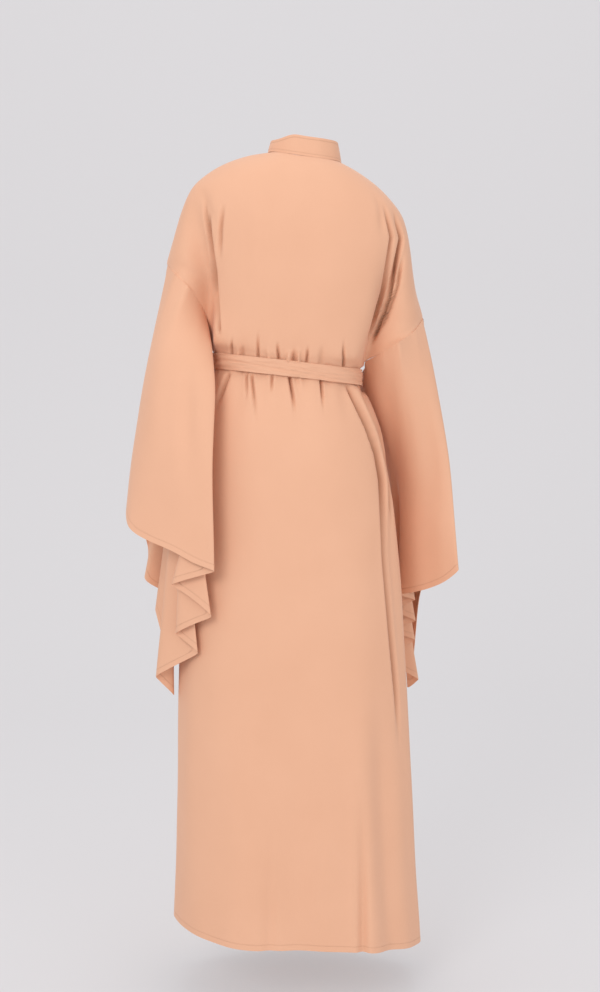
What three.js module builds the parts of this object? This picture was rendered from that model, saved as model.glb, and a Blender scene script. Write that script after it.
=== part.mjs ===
// A long-sleeved prayer dress in plain crepe, worn with its own tie belt.
// It has a full-length back, two full-length fronts that overlap, a stand collar, two wide
// flared sleeves sewn to dropped shoulders, and a belt knotted in front.
// Millimetres, +Z up. The origin is the middle of the neck opening at the shoulder seams, the
// front faces -Y and the wearer's left is +X.
import * as THREE from "three";

// Driving dimensions
const WALL = 1.6;
const SLEEVE_WALL = 1.2;
const SEAM_HALF_GAP = 0.22;
const ARMHOLE_GAP = 0.5;
const UNDERARM_SINK = 0.4;
const UNDERARM_OPENS = 1;
const COLLAR_HEIGHT = 36;
const COLLAR_LEAN = 6;
const COLLAR_LEFT_DIP = 15;
const BELT_WALL = 2;
const BELT_TOP = -374;
const BELT_BOTTOM = -404;
const UNDERARM = -358;
const HEM = -1432;
const SHOULDER_TILT = THREE.MathUtils.degToRad(8);
const WAIST_TILT = THREE.MathUtils.degToRad(6.6);
const WAIST_OFFSET = 33;
const HEM_OFFSET = 14;
const LEFT_SEAM_TOP_ROW = 7;
const RIGHT_SEAM_TOP_ROW = 9;
const LEFT_SEAM_DROP = 2.5;
const RIGHT_SEAM_DROP = 0.8;
const OVERLAP = 32;
const OVERLAP_FADE = 90;
const OVERLAP_RISE = 3.2;

// Mesh fineness
const BACK_HALF_COLUMNS = 19;
const FRONT_COLUMNS = 16;
const LAP_COLUMNS = 2;
const FOLD_ROWS = 6;
const NARROWEST_COLUMN = 3;
const BELT_QUARTER_COLUMNS = 15;
const CURVE_SAMPLES = 96;
const SLEEVE_RING_ROWS = [2, 3, 6];
const LEFT_SPAN_COLUMNS = [3, 4, 4, 5, 7, 7, 7, 7, 5, 4, 4, 3];
const RIGHT_SPAN_COLUMNS = [7, 7, 7, 7, 7, 7, 7, 7];

const CLOTH = new THREE.Color(0.79, 0.52, 0.36);

const { clamp, lerp, smoothstep, degToRad } = THREE.MathUtils;
const vec = (x = 0, y = 0, z = 0) => new THREE.Vector3(x, y, z);

// A table's rows, each value under the name of its column.
const named = (names, rows) =>
  rows.map((row) => Object.fromEntries(names.map((name, i) => [name, row[i]])));

// A value from a table's column at a fractional row, smooth through the rows.
function column(table, name, at) {
  const last = table.length - 1;
  const row = Math.min(Math.floor(at), last - 1);
  const value = (i) => table[clamp(i, 0, last)][name];
  const before = value(row);
  const after = value(row + 1);
  const slope = (after - value(row - 1)) / 2;
  const slopeAfter = (value(row + 2) - before) / 2;
  const t = at - row;
  const cubic = 2 * (before - after) + slope + slopeAfter;
  const square = 3 * (after - before) - 2 * slope - slopeAfter;
  return ((cubic * t + square) * t + slope) * t + before;
}

// The yoke, from the neckline to the underarm, as rings round an upright torso and hanging arms.
// ridge, back and front are a ring's heights on the shoulder, the centre back and centre front;
// over is how far it reaches sideways, deep and shallow how far backwards and forwards; crease is
// how much the cloth has folded in at the armpit, edge and pit where the torso turns and where
// the fold lies, and fold how far the fold stays from the middle plane.
const YOKE = named(
  ["ridge", "back", "front", "over", "deep", "shallow", "crease", "edge", "pit", "fold"],
  [
    [-8, -14, -82, 68, 72, 60, 0, 138, 170, 60],
    [-14, -24, -92, 90, 83, 72, 0, 138, 170, 62],
    [-25, -38, -104, 118, 92, 84, 0, 138, 170, 64],
    [-46, -58, -118, 158, 101, 97, 0, 138, 170, 66],
    [-78, -86, -136, 193, 110, 110, 0.05, 140, 172, 66],
    [-120, -126, -160, 211, 118, 121, 0.3, 142, 170, 64],
    [-170, -174, -190, 224, 123, 128, 0.7, 142, 164, 56],
    [-226, -226, -232, 235, 124, 131, 0.95, 140, 156, 42],
    [-246, -246, -249, 238, 123, 131, 1, 139, 153, 36],
    [-266, -266, -266, 242, 121, 130, 1, 138, 150, 29],
    [-292, -292, -292, 246, 118, 128, 1, 134, 149, 25],
    [-318, -318, -318, 249, 116, 125, 1, 132, 148, 20],
    [-340, -340, -340, 251, 115, 122, 1, 131, 146, 12],
    [UNDERARM, UNDERARM, UNDERARM, 252, 113, 118, 1, 131, 143, 0],
  ],
);
const YOKE_SQUARENESS = 0.88;
const RIGHT_SHOULDER_IN = 12;
const ARM_BACK = 196;
const ARM_HALF_DEPTH = 62;

// The skirt, from the underarm to the hem, as rings round the hips. half is half its width; the
// last four columns raise or drop it at the back, left, front and right.
const SKIRT = [
  { level: -366, half: 143, deep: 112, shallow: 115, back: 0, left: 0, front: 0, right: 0 },
  { level: BELT_TOP, half: 136, deep: 105, shallow: 107, back: 0, left: 0, front: 0, right: 0 },
  { level: -389, half: 135, deep: 104, shallow: 106, back: 0, left: 0, front: 0, right: 0 },
  { level: BELT_BOTTOM, half: 136, deep: 105, shallow: 107, back: 0, left: 0, front: 0, right: 0 },
  { level: -414, half: 145, deep: 111, shallow: 112, back: 0, left: 0, front: 0, right: 0 },
  { level: -440, half: 158, deep: 119, shallow: 118, back: 0, left: 0, front: 0, right: 0 },
  { level: -490, half: 175, deep: 131, shallow: 125, back: 0, left: 0, front: 0, right: 0 },
  { level: -560, half: 187, deep: 142, shallow: 132, back: 0, left: 0, front: 0, right: 0 },
  { level: -660, half: 196, deep: 148, shallow: 139, back: 0, left: 0, front: 0, right: 0 },
  { level: -800, half: 203, deep: 149, shallow: 145, back: 0, left: 0, front: 0, right: 0 },
  { level: -960, half: 209, deep: 147, shallow: 150, back: 0, left: 0, front: 0, right: 0 },
  { level: -1120, half: 213, deep: 147, shallow: 154, back: 0, left: 0, front: 0, right: 0 },
  { level: -1270, half: 218, deep: 150, shallow: 158, back: 3, left: 4, front: 0, right: -2 },
  { level: -1370, half: 223, deep: 153, shallow: 160, back: 4, left: 8, front: -4, right: -6 },
  { level: HEM, half: 226, deep: 156, shallow: 161, back: 8, left: 24, front: -22, right: -22 },
];
const SKIRT_SQUARENESS = 0.86;

// Tucks that the belt gathers. at is millimetres round the waist from the centre back, positive
// to the wearer's left; depth is how far a tuck dips, up and down how far it runs.
const TUCKS = [
  { at: -350, width: 15, depth: 6, up: 48, down: 105 },
  { at: -300, width: 15, depth: 6, up: 60, down: 125 },
  { at: -245, width: 15, depth: 6, up: 40, down: 90 },
  { at: -192, width: 15, depth: 6, up: 30, down: 110 },
  { at: -146, width: 13, depth: 6, up: 55, down: 150 },
  { at: -108, width: 12, depth: 6, up: 34, down: 90 },
  { at: -70, width: 12, depth: 6, up: 40, down: 70 },
  { at: -22, width: 12, depth: 7, up: 45, down: 60 },
  { at: 8, width: 11, depth: 6, up: 50, down: 75 },
  { at: 48, width: 12, depth: 6, up: 62, down: 80 },
  { at: 84, width: 12, depth: 7, up: 50, down: 105 },
  { at: 124, width: 13, depth: 5, up: 36, down: 95 },
  { at: 176, width: 15, depth: 6, up: 30, down: 130 },
  { at: 232, width: 15, depth: 6, up: 50, down: 120 },
  { at: 284, width: 15, depth: 6, up: 64, down: 95 },
  { at: 336, width: 15, depth: 6, up: 50, down: 120 },
];
const WAIST_GIRTH = 768;

// Long hanging folds of the skirt. from and to are where a fold starts and ends round the body:
// 0 at the centre back, 1 at the side and 2 at the centre front, positive to the wearer's left.
// ridge is how far it stands out, or in.
const FOLDS = [
  { top: -410, foot: -1000, from: -0.68, to: -0.8, width: 0.05, ridge: -9 },
  { top: -410, foot: -1600, from: -0.78, to: -0.93, width: 0.06, ridge: 7 },
  { top: -410, foot: -940, from: -0.9, to: -1.06, width: 0.055, ridge: -8 },
  { top: -980, foot: -1600, from: -0.4, to: -0.46, width: 0.08, ridge: 8 },
  { top: -980, foot: -1600, from: -0.56, to: -0.62, width: 0.08, ridge: -11 },
  { top: -1060, foot: -1600, from: 0.02, to: -0.02, width: 0.12, ridge: -8 },
  { top: -1000, foot: -1600, from: 0.3, to: 0.33, width: 0.13, ridge: 7 },
  { top: -700, foot: -1600, from: 0.9, to: 0.98, width: 0.08, ridge: 6 },
  { top: -520, foot: -1600, from: 1.08, to: 1.16, width: 0.08, ridge: -10 },
  { top: -700, foot: -1600, from: 1.28, to: 1.34, width: 0.1, ridge: 9 },
  { top: -600, foot: -1600, from: 1.52, to: 1.54, width: 0.09, ridge: -10 },
  { top: -600, foot: -1600, from: -1.5, to: -1.5, width: 0.12, ridge: -14 },
  { top: -700, foot: -1600, from: -1.26, to: -1.24, width: 0.09, ridge: 8 },
];

// The sleeves, one row per fold line. line counts the columns round the armhole, from the
// shoulder down the back, under the arm and up the front; high, mid and hem are where the fold
// line passes beside the waist and at the elbow, and where it ends.
const LEFT_SLEEVE = named(
  ["line", "high", "mid", "hem"],
  [
    [0, [279, 8, -334], [312, 20, -520], [324, 34, -632]],
    [3, [277, 36, -341], [306, 64, -520], [318, 90, -668]],
    [6, [262, 64, -350], [286, 97, -522], [294, 112, -686]],
    [9, [238, 90, -362], [250, 126, -528], [232, 146, -709]],
    [12, [208, 110, -376], [212, 148, -535], [197, 160, -727]],
    [14, [184, 118, -388], [187, 158, -538], [175, 167, -735]],
    [16, [157, 120, -403], [160, 165, -541], [157, 172, -741]],
    [17, [158, 114, -406], [160, 159, -542], [157, 164, -743]],
    [19, [164, 105, -409], [167, 153, -543], [196, 151, -755]],
    [21, [174, 98, -412], [177, 147, -545], [234, 137, -768]],
    [22, [178, 94, -414], [182, 143, -546], [236, 128, -771]],
    [24, [184, 86, -416], [190, 136, -548], [206, 134, -789]],
    [26, [190, 78, -419], [198, 128, -550], [164, 148, -822]],
    [27, [192, 74, -420], [201, 124, -551], [163, 139, -827]],
    [28, [194, 69, -422], [205, 119, -552], [186, 127, -836]],
    [30, [195, 58, -425], [211, 110, -555], [230, 110, -859]],
    [31, [196, 52, -426], [214, 105, -556], [231, 97, -864]],
    [33, [198, 43, -424], [219, 96, -559], [189, 117, -893]],
    [34, [200, 38, -423], [222, 91, -560], [191, 106, -898]],
    [36, [203, 27, -419], [226, 81, -561], [272, 66, -945]],
    [37, [205, 21, -417], [228, 75, -562], [272, 53, -951]],
    [39, [209, 7, -412], [232, 61, -564], [238, 36, -989]],
    [41, [214, -7, -407], [236, 44, -565], [252, 6, -982]],
    [43, [218, -21, -401], [238, 25, -565], [262, -24, -950]],
    [45, [224, -35, -395], [240, 3, -564], [268, -48, -900]],
    [47, [229, -47, -389], [242, -20, -562], [284, -58, -842]],
    [48, [231, -53, -386], [243, -33, -560], [284, -67, -838]],
    [50, [236, -62, -379], [247, -57, -556], [238, -64, -826]],
    [51, [239, -65, -376], [249, -68, -553], [239, -74, -822]],
    [53, [246, -69, -369], [257, -90, -546], [304, -54, -788]],
    [54, [250, -69, -365], [264, -96, -542], [303, -66, -778]],
    [56, [261, -62, -355], [281, -94, -534], [298, -84, -740]],
    [58, [272, -37, -343], [301, -59, -525], [305, -80, -704]],
    [59, [277, -18, -338], [308, -30, -522], [318, -42, -668]],
  ],
);
const RIGHT_SLEEVE = named(
  ["line", "high", "mid", "hem"],
  [
    [0, [-237, 8, -394], [-264, 18, -540], [-284, 25, -755]],
    [5, [-223, 25, -406], [-246, 24, -545], [-262, 14, -777]],
    [11, [-196, 32, -419], [-215, 8, -552], [-232, -10, -795]],
    [16, [-174, 25, -430], [-192, -14, -558], [-203, -34, -806]],
    [20, [-157, 8, -437], [-177, -36, -562], [-180, -56, -813]],
    [21, [-152, 3, -438], [-174, -41, -563], [-180, -62, -815]],
    [23, [-139, -8, -439], [-168, -50, -565], [-211, -76, -826]],
    [24, [-132, -14, -438], [-165, -55, -566], [-211, -82, -828]],
    [26, [-122, -26, -434], [-160, -65, -568], [-169, -88, -847]],
    [27, [-116, -34, -430], [-158, -70, -569], [-169, -94, -849]],
    [29, [-106, -50, -420], [-154, -79, -570], [-215, -99, -870]],
    [30, [-104, -56, -415], [-152, -84, -571], [-215, -105, -872]],
    [32, [-99, -68, -409], [-150, -93, -572], [-160, -108, -889]],
    [33, [-99, -72, -408], [-149, -98, -573], [-160, -114, -891]],
    [35, [-105, -80, -410], [-148, -107, -574], [-216, -118, -910]],
    [36, [-110, -84, -412], [-148, -112, -574], [-216, -124, -912]],
    [38, [-124, -89, -418], [-149, -120, -574], [-152, -127, -949]],
    [39, [-131, -91, -421], [-150, -125, -573], [-152, -133, -951]],
    [41, [-147, -93, -427], [-154, -133, -572], [-224, -139, -992]],
    [42, [-155, -94, -428], [-158, -137, -571], [-224, -145, -994]],
    [44, [-170, -93, -424], [-170, -144, -568], [-202, -160, -1016]],
    [47, [-191, -88, -416], [-192, -146, -560], [-216, -172, -962]],
    [50, [-210, -72, -408], [-218, -126, -552], [-222, -150, -870]],
    [52, [-222, -47, -402], [-240, -84, -545], [-230, -112, -796]],
    [54, [-232, -19, -397], [-257, -32, -540], [-264, -45, -764]],
  ],
);

// Where a ring lies: the torso leans over the waist, and the skirt hangs back to plumb.
function middle(z) {
  if (z > BELT_TOP) return (WAIST_OFFSET * z) / BELT_TOP;
  return lerp(WAIST_OFFSET, HEM_OFFSET, clamp((z - BELT_TOP) / (HEM - BELT_TOP), 0, 1));
}
function tilt(z) {
  const torso = lerp(SHOULDER_TILT, WAIST_TILT, clamp(z / BELT_TOP, 0, 1));
  return torso * (1 - smoothstep(-z, -BELT_TOP, 900));
}
function place(x, y, z) {
  return vec(middle(z) + x * Math.cos(tilt(z)), y, z + x * Math.sin(tilt(z)));
}

const bell = (t) => Math.exp(-t * t);

function foldOut(round, level) {
  let out = 0;
  for (const { top, foot, from, to, width, ridge } of FOLDS) {
    const down = clamp((top - level) / (top - foot), 0, 1);
    const grow = smoothstep(down, 0, 0.3);
    const fade = foot < HEM ? 1 : 1 - smoothstep(down, 0.55, 1);
    out += ridge * grow * fade * bell((round - lerp(from, to, down)) / width);
  }
  return out;
}

function tuckIn(around, level) {
  let dip = 0;
  for (const { at, width, depth, up, down } of TUCKS) {
    const above = (level - BELT_TOP) / up;
    const below = (BELT_BOTTOM - level) / down;
    const beyond = Math.max(above, below, 0);
    const strength = beyond > 0 ? 1 - smoothstep(beyond, 0, 1) : 0.5;
    dip += depth * strength * bell((around - at) / width);
  }
  return dip;
}

// Points along the plan of half a yoke ring, from its centre line to its side edge.
function yokeCurve(at, side, face) {
  const get = (name) => column(YOKE, name, at);
  const drop = side < 0 ? smoothstep(at, 1, 3) * (1 - smoothstep(at, 6, 9)) : 0;
  const over = get("over") - RIGHT_SHOULDER_IN * drop;
  const reach = face > 0 ? get("deep") : get("shallow");
  const centre = face > 0 ? get("back") : get("front");
  const crease = clamp(get("crease"), 0, 1);
  const shift = -8 * side * (1 - smoothstep(at, 9, 13));
  const edge = get("edge") + shift;
  const pit = get("pit") + shift / 2;
  const fold = Math.max(get("fold"), 0);
  const round = (degrees) => {
    const a = degToRad(degrees);
    return [over * Math.cos(a) ** YOKE_SQUARENESS, reach * Math.sin(a) ** YOKE_SQUARENESS];
  };
  const blend = (a, b) => vec(lerp(a[0], b[0], crease), lerp(a[1], b[1], crease), 0);
  const plan = [
    vec(0, reach, 0),
    blend(round(66), [0.52 * edge, 0.96 * reach]),
    blend(round(44), [edge - 3, 0.72 * reach]),
    blend(round(28), [pit, fold]),
    blend(round(14), [ARM_BACK, ARM_HALF_DEPTH]),
    vec(over, 0, 0),
  ];
  const mirrored = [vec(-plan[1].x, plan[1].y, 0), ...plan, vec(plan[4].x, -plan[4].y, 0)];
  const curve = new THREE.CatmullRomCurve3(mirrored, false, "centripetal");
  const spans = mirrored.length - 1;
  const end = (1 + lerp(3, 5, seamShare(at, side))) / spans;
  const pitSample = Math.round((CURVE_SAMPLES * 3) / (end * spans - 1));
  const points = [];
  for (let i = 0; i <= CURVE_SAMPLES; i++) {
    const p = curve.getPoint(lerp(1 / spans, end, i / CURVE_SAMPLES));
    const rise = clamp(p.x / over, 0, 1) ** 2;
    points.push(place(side * p.x, face * p.y, lerp(centre, get("ridge"), rise)));
  }
  return { points, pitSample };
}

// 1 where a ring runs out to the overarm, 0 at the underarm, and the armhole seam between.
function seamShare(at, side) {
  const top = side > 0 ? LEFT_SEAM_TOP_ROW : RIGHT_SEAM_TOP_ROW;
  if (at <= top) return 1;
  const left = (column(YOKE, "ridge", at) - UNDERARM) / (YOKE[top].ridge - UNDERARM);
  return clamp(left, 0, 1) ** (side > 0 ? LEFT_SEAM_DROP : RIGHT_SEAM_DROP);
}

// Points along the plan of half a skirt ring, from its centre line to the side seam.
function skirtCurve(at, side, face) {
  const get = (name) => column(SKIRT, name, at);
  const reach = face > 0 ? get("deep") : get("shallow");
  const centreLift = face > 0 ? get("back") : get("front");
  const sideLift = side > 0 ? get("left") : get("right");
  const points = [];
  for (let i = 0; i <= CURVE_SAMPLES; i++) {
    const a = (i / CURVE_SAMPLES) * 0.5 * Math.PI;
    const x = get("half") * Math.sin(a) ** SKIRT_SQUARENESS;
    const y = reach * Math.max(Math.cos(a), 0) ** SKIRT_SQUARENESS;
    const level = get("level") + lerp(centreLift, sideLift, Math.sin(a) ** 2);
    points.push(place(side * x, face * y, level));
  }
  return { points, pitSample: CURVE_SAMPLES };
}

function lengthsAlong(points) {
  const along = [0];
  for (let i = 1; i < points.length; i++) along.push(along[i - 1] + points[i].distanceTo(points[i - 1]));
  return along;
}

// Points spaced along a line by distances from its start.
function spaced(points, distances) {
  const along = lengthsAlong(points);
  return distances.map((want) => {
    let i = 1;
    while (i < points.length - 1 && along[i] < want) i++;
    const t = (want - along[i - 1]) / Math.max(along[i] - along[i - 1], 1e-9);
    return points[i - 1].clone().lerp(points[i], clamp(t, 0, 1));
  });
}

const YOKE_ROWS = [0, 1, 2, 3, 4, 4.5, 5, 5.5, 6, 6.5, 7, 8, 9, 10, 11, 12, 13];
const SKIRT_ROWS = [0, 1, 2, 3, 4, 4.5, 5, 6, 7, 8, 9, 10, 11, 12, 13, 14];
const ROWS = [
  ...YOKE_ROWS.map((at) => ({ curve: yokeCurve, at })),
  ...SKIRT_ROWS.map((at) => ({ curve: skirtCurve, at })),
];
const UNDERARM_ROW = YOKE_ROWS.length - 1;
const rowOf = (yokeAt) => YOKE_ROWS.indexOf(yokeAt);

// Half a row of the back or front, at distances from its centre line, with folds and tucks.
function halfRow(row, side, face, distances) {
  const { curve, at } = ROWS[row];
  const { points: samples, pitSample } = curve(at, side, face);
  const along = lengthsAlong(samples);
  const girth = along.at(-1);
  const wanted = distances(girth, along[Math.min(pitSample, CURVE_SAMPLES)], row);
  const inSkirt = row > UNDERARM_ROW;
  return spaced(samples, wanted).map((p, i) => {
    const share = wanted[i] / girth;
    const round = side * (face > 0 ? share : 2 - share);
    const around = side * (face > 0 ? wanted[i] : WAIST_GIRTH / 2 - wanted[i]);
    const x = p.x - middle(p.z);
    const level = p.z - x * Math.tan(tilt(p.z));
    const reach = inSkirt ? 1 : 1 - smoothstep(share, 0.7, 0.9);
    const out = (inSkirt ? foldOut(round, level) : 0) - tuckIn(around, level) * reach;
    return p.addScaledVector(vec(x, p.y * 1.6, 0).normalize(), out);
  });
}

// Even spacing that keeps a column on the armpit fold, which moves out one column a row as the
// cloth beyond it narrows towards the underarm.
const evenly = (count) => (girth, pit, row) => {
  if (girth - pit < NARROWEST_COLUMN) return Array.from({ length: count + 1 }, (_, i) => (girth * i) / count);
  const toGo = UNDERARM_ROW - row;
  const even = Math.round((count * pit) / girth);
  const before = toGo > FOLD_ROWS ? Math.min(even, count - FOLD_ROWS) : count - toGo;
  return Array.from({ length: count + 1 }, (_, i) =>
    i <= before ? (pit * i) / before : lerp(pit, girth, (i - before) / (count - before)),
  );
};
const lapping = (girth) =>
  Array.from({ length: LAP_COLUMNS }, (_, i) => (OVERLAP * (i + 1)) / LAP_COLUMNS).filter((d) => d < girth);

// Outward normals of a grid whose columns run so that down x along points out.
function normalsOf(grid, closed = false) {
  const last = grid[0].length - 1;
  const wrap = (c) => (closed ? (c + last + 1) % (last + 1) : clamp(c, 0, last));
  const through = (before, at, after) =>
    after.clone().sub(at).normalize().add(at.clone().sub(before).normalize());
  return grid.map((line, r) =>
    line.map((at, c) => {
      const along = through(line[wrap(c - 1)], at, line[wrap(c + 1)]);
      const above = grid[Math.max(r - 1, 0)][c];
      return through(above, at, grid[Math.min(r + 1, grid.length - 1)][c]).cross(along).normalize();
    }),
  );
}

// One shared normal where pieces meet, so that their walls stay parallel.
function share(...normals) {
  const mean = vec(0, 0, 0);
  normals.forEach((n) => mean.add(n));
  mean.normalize();
  normals.forEach((n) => n.copy(mean));
}

// A closed wall from its outer points; the inner ones lie a thickness below, and rims join them.
function wall(grid, normals, thickness, closed = false) {
  const rows = grid.length;
  const columns = grid[0].length;
  const position = [];
  const index = [];
  grid.forEach((line) => line.forEach((p) => position.push(p.x, p.y, p.z)));
  grid.forEach((line, r) =>
    line.forEach((p, c) => {
      const q = p.clone().addScaledVector(normals[r][c], -thickness);
      position.push(q.x, q.y, q.z);
    }),
  );
  const spot = (i) => vec().fromArray(position, 3 * i);
  const quad = (a, b, c, d, across = spot(a).distanceTo(spot(c)) > spot(b).distanceTo(spot(d))) =>
    across ? index.push(a, b, d, b, c, d) : index.push(a, b, c, a, c, d);
  const outer = (r, c) => r * columns + (c % columns);
  const inner = (r, c) => rows * columns + outer(r, c);
  const end = closed ? columns : columns - 1;
  for (let r = 0; r < rows - 1; r++) {
    for (let c = 0; c < end; c++) {
      quad(outer(r, c), outer(r + 1, c), outer(r + 1, c + 1), outer(r, c + 1));
      quad(inner(r, c), inner(r, c + 1), inner(r + 1, c + 1), inner(r + 1, c));
    }
    if (!closed) {
      quad(outer(r, 0), inner(r, 0), inner(r + 1, 0), outer(r + 1, 0));
      quad(outer(r + 1, end), inner(r + 1, end), inner(r, end), outer(r, end));
    }
  }
  for (let c = 0; c < end; c++) {
    quad(outer(0, c + 1), inner(0, c + 1), inner(0, c), outer(0, c));
    quad(outer(rows - 1, c), inner(rows - 1, c), inner(rows - 1, c + 1), outer(rows - 1, c + 1));
  }
  const geometry = new THREE.BufferGeometry();
  geometry.setAttribute("position", new THREE.Float32BufferAttribute(position, 3));
  geometry.setIndex(index);
  geometry.computeVertexNormals();
  return geometry;
}

const dress = new THREE.Group();
function addPiece(name, geometry) {
  const material = new THREE.MeshStandardMaterial({ color: CLOTH, roughness: 0.8, metalness: 0 });
  const mesh = new THREE.Mesh(geometry, material);
  mesh.name = name;
  dress.add(mesh);
}

// Draws an edge point back from the seam towards its neighbour.
const drawnBack = (edge, next) => edge.clone().lerp(next, SEAM_HALF_GAP / edge.distanceTo(next));

// The body's three panels. Columns run from the wearer's left round to the right on the back,
// and from right to left on the fronts, so that down x along points outwards.
const rowIndices = ROWS.map((_, row) => row);
const mirrorJoin = (left, right) => [...left.slice(1).reverse(), ...right];
const backGrid = rowIndices.map((row) =>
  mirrorJoin(halfRow(row, 1, 1, evenly(BACK_HALF_COLUMNS)), halfRow(row, -1, 1, evenly(BACK_HALF_COLUMNS))),
);
const leftFrontGrid = rowIndices.map((row) => [
  ...halfRow(row, -1, -1, lapping).reverse(),
  ...halfRow(row, 1, -1, evenly(FRONT_COLUMNS)),
]);
const rightFrontGrid = rowIndices.map((row) => [
  ...halfRow(row, -1, -1, evenly(FRONT_COLUMNS)).reverse(),
  ...halfRow(row, 1, -1, lapping),
]);

// The left front lies over the right one where they overlap.
function overlapRise(p) {
  const x = Math.abs(p.x - middle(p.z));
  return OVERLAP_RISE * (1 - smoothstep(x, OVERLAP, OVERLAP_FADE));
}
const leftFrontBase = normalsOf(leftFrontGrid);
leftFrontGrid.forEach((line, r) =>
  line.forEach((p, c) => p.addScaledVector(leftFrontBase[r][c], overlapRise(p))),
);

const backNormals = normalsOf(backGrid);
const leftFrontNormals = normalsOf(leftFrontGrid);
const rightFrontNormals = normalsOf(rightFrontGrid);
const backEnd = 2 * BACK_HALF_COLUMNS;
const frontEnd = FRONT_COLUMNS + LAP_COLUMNS;

// A sleeve's seam, once round its armhole from the shoulder down the back.
function armhole(side) {
  const top = rowOf(side > 0 ? LEFT_SEAM_TOP_ROW : RIGHT_SEAM_TOP_ROW);
  const down = rowIndices.slice(top, UNDERARM_ROW + 1);
  const backColumn = side > 0 ? 0 : backEnd;
  const frontColumn = side > 0 ? frontEnd : 0;
  const frontGrid = side > 0 ? leftFrontGrid : rightFrontGrid;
  const frontNormals = side > 0 ? leftFrontNormals : rightFrontNormals;
  const onBack = down.map((row) => ({
    point: backGrid[row][backColumn].clone(),
    normal: backNormals[row][backColumn],
  }));
  const onFront = down.map((row) => ({
    point: frontGrid[row][frontColumn].clone(),
    normal: frontNormals[row][frontColumn],
  }));
  return [...onBack, ...onFront.slice(1, -1).reverse()];
}

// A sleeve: lines from the armhole past the waist and elbow to the hem, smooth all round. spans
// is how many columns each step of the seam holds.
function sleeve(side, table, spans) {
  const seam = armhole(side);
  const starts = spans.map((_, i) => spans.slice(0, i).reduce((sum, count) => sum + count, 0));
  const columns = starts.at(-1) + spans.at(-1);
  const spanOf = (c) => starts.findLastIndex((start) => start <= c);
  const shareOf = (c) => (c - starts[spanOf(c)]) / spans[spanOf(c)];
  const seamAt = (c, what) => {
    const next = seam[(spanOf(c) + 1) % seam.length];
    return seam[spanOf(c)][what].clone().lerp(next[what], shareOf(c));
  };
  const ring = (name) => {
    const points = table.map((row) => vec(...row[name]));
    const curve = new THREE.CatmullRomCurve3(points, true, "centripetal");
    return (c) => {
      const i = table.findLastIndex((row) => row.line <= c);
      const following = table[i + 1]?.line ?? columns;
      return curve.getPoint((i + (c - table[i].line) / (following - table[i].line)) / table.length);
    };
  };
  const rings = ["high", "mid", "hem"].map(ring);
  const steps = SLEEVE_RING_ROWS.flatMap((count, k) => Array.from({ length: count }, (_, i) => k + i / count));
  const grid = [...steps, rings.length].map(() => []);
  for (let c = 0; c < columns; c++) {
    const points = [seamAt(c, "point"), ...rings.map((at) => at(c))];
    const line = new THREE.CatmullRomCurve3(points, false, "centripetal");
    [...steps, rings.length].forEach((t, r) => grid[r].push(line.getPoint(t / rings.length)));
  }
  const turned = (c) => (side > 0 ? c : (columns - c) % columns);
  if (side < 0) grid.forEach((line) => line.reverse().unshift(line.pop()));
  const normals = normalsOf(grid, true);
  const underarmSpan = seam.length / 2;
  const underarm = starts[underarmSpan];
  seam.forEach(({ normal }, i) => {
    if (i !== underarmSpan) share(normals[0][turned(starts[i])], normal);
  });
  const sleeveOnly = normals[0][underarm].clone();
  const nearUnderarm = (c) => {
    if (spanOf(c) === underarmSpan) return shareOf(c);
    return spanOf(c) === underarmSpan - 1 ? 1 - shareOf(c) : 1;
  };
  for (let c = 0; c < columns; c++) {
    const near = nearUnderarm(c);
    const beside = seam[underarmSpan + Math.sign(c - underarm)].normal;
    const normal = near < 1 ? sleeveOnly.clone().lerp(beside, near) : seamAt(c, "normal");
    normals[0][turned(c)].copy(normal.normalize());
  }
  grid[0].forEach((p, c) => {
    p.lerp(grid[1][c], ARMHOLE_GAP / p.distanceTo(grid[1][c]));
    p.addScaledVector(normals[0][c], -UNDERARM_SINK * (1 - nearUnderarm(c)));
  });
  return wall(grid, normals, SLEEVE_WALL, true);
}

// The fold opens downwards under the arm, and on the right the seam beside it turns with it.
for (const line of [backNormals, leftFrontNormals, rightFrontNormals]) {
  for (const end of [line[UNDERARM_ROW][0], line[UNDERARM_ROW].at(-1)]) {
    if (Math.abs(end.x) > Math.abs(end.y)) end.add(vec(0, 0, -UNDERARM_OPENS)).normalize();
  }
}
for (const [line, end, next] of [
  [backNormals, backEnd, backEnd - 1],
  [rightFrontNormals, 0, 1],
]) {
  const above = line[UNDERARM_ROW - 1];
  above[end].addScaledVector(above[next], 2).normalize();
}

// Side and shoulder seams: the panels share a normal wherever their edges meet.
rowIndices.forEach((row) => {
  const leftMeets = row <= rowOf(LEFT_SEAM_TOP_ROW) || row >= UNDERARM_ROW;
  const rightMeets = row <= rowOf(RIGHT_SEAM_TOP_ROW) || row >= UNDERARM_ROW;
  if (leftMeets) share(backNormals[row][0], leftFrontNormals[row][frontEnd]);
  if (rightMeets) share(backNormals[row][backEnd], rightFrontNormals[row][0]);
});

const leftSleeve = sleeve(1, LEFT_SLEEVE, LEFT_SPAN_COLUMNS);
const rightSleeve = sleeve(-1, RIGHT_SLEEVE, RIGHT_SPAN_COLUMNS);

function panel(grid, normals, trimStart, trimEnd) {
  const trimmed = grid.map((line) => {
    const last = line.length - 1;
    const out = [...line];
    if (trimStart) out[0] = drawnBack(line[0], line[1]);
    if (trimEnd) out[last] = drawnBack(line[last], line[last - 1]);
    return out;
  });
  return wall(trimmed, normals, WALL);
}
addPiece("back", panel(backGrid, backNormals, true, true));
addPiece("front_left", panel(leftFrontGrid, leftFrontNormals, false, true));
addPiece("front_right", panel(rightFrontGrid, rightFrontNormals, true, false));
addPiece("sleeve_left", leftSleeve);
addPiece("sleeve_right", rightSleeve);

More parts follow.
